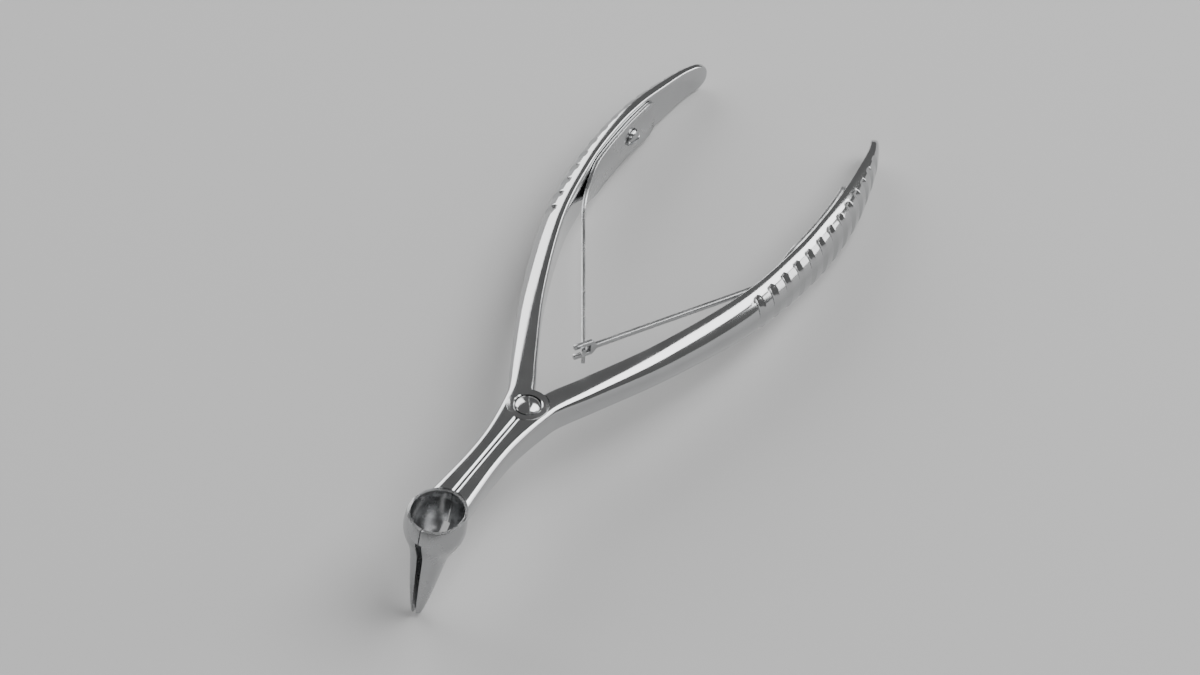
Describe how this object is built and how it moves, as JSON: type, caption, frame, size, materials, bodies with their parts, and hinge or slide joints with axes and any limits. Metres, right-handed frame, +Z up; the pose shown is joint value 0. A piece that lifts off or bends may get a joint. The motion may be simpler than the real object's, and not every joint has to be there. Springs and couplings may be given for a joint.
{
  "type": "hinged ear speculum",
  "caption": "Polished steel ear and nose speculum with a split funnel, one pivot screw, bowed ribbed handles and hooked leaf springs.",
  "frame": {"origin": "on the surface it lies on, in the middle of its length and on the mid-plane between the two halves", "axes": "+X from the funnel to the handle tips, +Y towards the left lever, +Z up from the surface it lies on"},
  "size_m": [0.1492, 0.0572, 0.0229],
  "materials": {
    "lever_steel": "polished stainless steel with fine handling marks",
    "funnel_steel": "bright polished stainless steel",
    "spring_steel": "satin spring steel, brushed along the leaf",
    "screw_steel": "turned and polished steel"
  },
  "bodies": {
    "right_half": {"right_lever": "lever_steel", "right_blade": "funnel_steel", "pivot_screw": "screw_steel", "right_leaf_spring": "spring_steel", "right_spring_screw": "screw_steel"},
    "left_half": {"left_lever": "lever_steel", "left_blade": "funnel_steel", "left_leaf_spring": "spring_steel", "left_spring_screw": "screw_steel"}
  },
  "joints": [
    {"name": "lever_pivot", "type": "hinge", "parent": "right_half", "child": "left_half", "pos_m": [-0.03203, 0, 0.01572], "axis": [-0.1169, 0, -0.9931], "range_deg": [0, 19], "stiffness_Nm_per_rad": 1, "springref_deg": -8.59, "deforming": ["left_leaf_spring", "right_leaf_spring"]}
  ]
}
